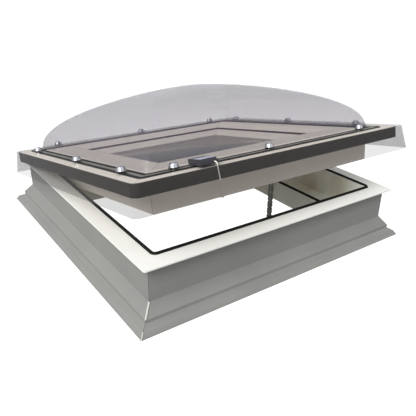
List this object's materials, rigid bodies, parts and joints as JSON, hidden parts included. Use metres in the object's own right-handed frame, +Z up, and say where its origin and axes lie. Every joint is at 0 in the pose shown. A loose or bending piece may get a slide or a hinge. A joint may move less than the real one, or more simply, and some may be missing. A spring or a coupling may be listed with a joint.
{
  "type": "domed roof skylight",
  "caption": "Flat-roof skylight: insulated curb frame, back-hinged glazed sash under a clear dome, chain opener inside and a rain sensor on the rim.",
  "frame": {"origin": "centre of the curb's footprint, at the height of the roof surface that it stands on", "axes": "+X along the hinges, +Y towards the hinge side, +Z up; the opening side faces -Y"},
  "size_m": [0.888, 0.888, 0.4288],
  "materials": {
    "grey_profile": "satin grey",
    "white_profile": "satin white",
    "cream_profile": "satin beige",
    "foam": "cut foam",
    "black_rubber": "matt",
    "galvanised_steel": "zinc plated",
    "anthracite_trim": "satin",
    "tinted_glass": "polished",
    "spacer_aluminium": "matt",
    "setting_block": "matt",
    "foil_tape": "foil",
    "dome_acrylic": "clear, slightly grey",
    "chrome_screw": "polished",
    "casing_aluminium": "anodised",
    "black_plastic": "satin",
    "motor_steel": "satin",
    "gearbox_metal": "cast",
    "chain_steel": "oiled",
    "sensor_top": "silvered",
    "lead_sheath": "matt"
  },
  "bodies": {
    "curb": {"curb_bar_front": "grey_profile", "curb_bar_right": "grey_profile", "curb_bar_back": "grey_profile", "curb_bar_left": "grey_profile", "liner_bar_front": "white_profile", "liner_bar_right": "white_profile", "liner_bar_back": "white_profile", "liner_bar_left": "white_profile", "curb_insulation": "foam", "curb_gasket": "black_rubber", "ledge_gasket": "black_rubber", "hinge_leaf_curb_left": "galvanised_steel", "hinge_leaf_curb_right": "galvanised_steel", "hinge_pin_left": "galvanised_steel", "hinge_pin_right": "galvanised_steel", "hinge_screws_curb": "galvanised_steel", "drive_casing": "casing_aluminium", "drive_end_caps": "black_plastic", "drive_motor": "motor_steel", "drive_gearbox": "gearbox_metal", "spare_chain": "chain_steel", "drive_brackets": "galvanised_steel", "drive_screws": "galvanised_steel", "drive_cable_gland": "black_rubber", "chain_plates": "chain_steel", "chain_rollers": "chain_steel"},
    "sash": {"sash_bar_front": "cream_profile", "sash_bar_right": "cream_profile", "sash_bar_back": "cream_profile", "sash_bar_left": "cream_profile", "sash_reinforcement": "galvanised_steel", "edge_band": "anthracite_trim", "glazing_outer_pane": "tinted_glass", "glazing_inner_pane": "tinted_glass", "glazing_spacer": "spacer_aluminium", "glazing_seat_gasket": "black_rubber", "glazing_blocks": "setting_block", "glazing_lip_gasket": "black_rubber", "glazing_beads": "cream_profile", "dome_gasket": "black_rubber", "dome_seal_tape": "foil_tape", "dome": "dome_acrylic", "dome_washers": "black_rubber", "dome_screws": "chrome_screw", "sensor_housing": "black_plastic", "sensor_plate": "sensor_top", "sensor_connector": "black_plastic", "sensor_lead": "lead_sheath", "lead_gland": "black_rubber", "chain_bracket": "galvanised_steel", "chain_bracket_pin": "galvanised_steel", "chain_bracket_screws": "galvanised_steel", "hinge_leaf_sash_left": "galvanised_steel", "hinge_leaf_sash_right": "galvanised_steel", "hinge_screws_sash": "galvanised_steel"},
    "sprocket": {"drive_sprocket": "chain_steel", "drive_sprocket_shaft": "chain_steel"}
  },
  "joints": [
    {"name": "sash_tilt", "type": "hinge", "parent": "curb", "child": "sash", "pos_m": [0, 0.422, 0.126], "axis": [1, 0, 0], "range_deg": [0, 12], "deforming": ["chain_plates", "chain_rollers"]},
    {"name": "sprocket_turn", "type": "hinge", "parent": "curb", "child": "sprocket", "pos_m": [0.059, -0.28107, 0.0335], "axis": [1, 0, 0], "range_deg": [-630, 0]}
  ],
  "couplings": [
    {"joint": "sprocket_turn", "follows": "sash_tilt", "ratio": -52}
  ]
}
